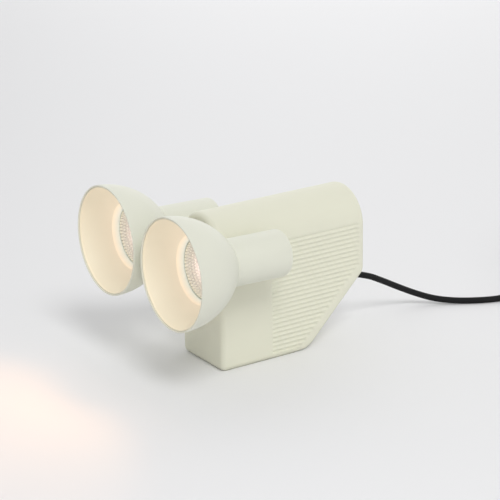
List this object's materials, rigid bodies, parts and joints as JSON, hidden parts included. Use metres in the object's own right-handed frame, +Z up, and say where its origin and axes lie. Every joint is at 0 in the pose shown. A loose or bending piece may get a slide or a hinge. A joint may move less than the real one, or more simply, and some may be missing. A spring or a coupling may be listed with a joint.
{
  "type": "tabletop searchlight lamp",
  "caption": "Weighted table lamp with an arched ribbed housing and bell-shaped spotlight heads that tilt on its flanks, with a corded rocker switch and plug.",
  "frame": {"origin": "on the table under the middle of the lamp without its free cord", "axes": "+X to the lamp's right flank, the heads shine towards -Y, +Z up"},
  "size_m": [0.2122, 0.5279, 0.1516],
  "materials": {
    "housing_plastic": "satin moulding, pale green cream",
    "foot_rubber": "matt",
    "base_steel": "painted sheet",
    "ballast_iron": "raw casting",
    "fixing_steel": "zinc plated",
    "terminal_plastic": "moulded",
    "terminal_brass": "plain",
    "relief_rubber": "satin",
    "cord_cover": "woven cover over two insulated cores",
    "lead_silicone": "heat-resistant sleeve",
    "head_paint": "satin paint on spun aluminium",
    "bowl_paint": "matt paint on spun aluminium",
    "reflector_glass": "mirrored inside",
    "lens_glass": "clear",
    "capsule_glass": "clear",
    "cap_ceramic": "matt",
    "pin_steel": "nickel plated",
    "holder_ceramic": "glazed",
    "washer_fibre": "vulcanised fibre",
    "switch_plastic": "moulded",
    "rocker_plastic": "moulded",
    "plug_plastic": "moulded"
  },
  "bodies": {
    "base": {"base_shell": "housing_plastic", "base_plate": "base_steel", "plate_screws": "fixing_steel", "ballast_screws": "fixing_steel", "foot_pad": "foot_rubber", "ballast_block": "ballast_iron", "terminal_block": "terminal_plastic", "terminal_screws": "terminal_brass", "terminal_fixing": "fixing_steel", "cord_clamp": "terminal_plastic", "clamp_screws": "fixing_steel", "cord_strain_relief": "relief_rubber", "supply_lead": "cord_cover", "right_friction_washers": "washer_fibre", "right_branch_lead": "lead_silicone", "left_friction_washers": "washer_fibre", "left_branch_lead": "lead_silicone", "mains_cord": "cord_cover", "switch_lower": "switch_plastic", "switch_upper": "switch_plastic", "switch_screws": "fixing_steel", "cord_tail": "cord_cover", "cord_coil": "cord_cover", "cord_end": "cord_cover", "plug_body": "plug_plastic", "plug_pins": "pin_steel"},
    "right_head": {"right_bell": "head_paint", "right_inner_bowl": "bowl_paint", "right_neck": "head_paint", "right_lamp_reflector": "reflector_glass", "right_lamp_lens": "lens_glass", "right_lamp_capsule": "capsule_glass", "right_lamp_cap": "cap_ceramic", "right_lamp_pins": "pin_steel", "right_lampholder": "holder_ceramic", "right_holder_plate": "fixing_steel", "right_holder_screws": "fixing_steel", "right_pivot_tube": "fixing_steel", "right_pivot_nuts": "fixing_steel", "right_spring_washer": "fixing_steel", "right_head_lead": "lead_silicone"},
    "left_head": {"left_bell": "head_paint", "left_inner_bowl": "bowl_paint", "left_neck": "head_paint", "left_lamp_reflector": "reflector_glass", "left_lamp_lens": "lens_glass", "left_lamp_capsule": "capsule_glass", "left_lamp_cap": "cap_ceramic", "left_lamp_pins": "pin_steel", "left_lampholder": "holder_ceramic", "left_holder_plate": "fixing_steel", "left_holder_screws": "fixing_steel", "left_pivot_tube": "fixing_steel", "left_pivot_nuts": "fixing_steel", "left_spring_washer": "fixing_steel", "left_head_lead": "lead_silicone"},
    "rocker": {"switch_rocker": "rocker_plastic"}
  },
  "joints": [
    {"name": "right_head_tilt", "type": "hinge", "parent": "base", "child": "right_head", "pos_m": [0.0516, -0.00661, 0.1027], "axis": [1, 0, 0], "range_deg": [-25, 25]},
    {"name": "left_head_tilt", "type": "hinge", "parent": "base", "child": "left_head", "pos_m": [-0.0516, -0.00661, 0.1027], "axis": [1, 0, 0], "range_deg": [-25, 25]},
    {"name": "rocker_tilt", "type": "hinge", "parent": "base", "child": "rocker", "pos_m": [0.04, 0.319, 0.0142], "axis": [1, 0, 0], "range_deg": [0, 14]}
  ]
}
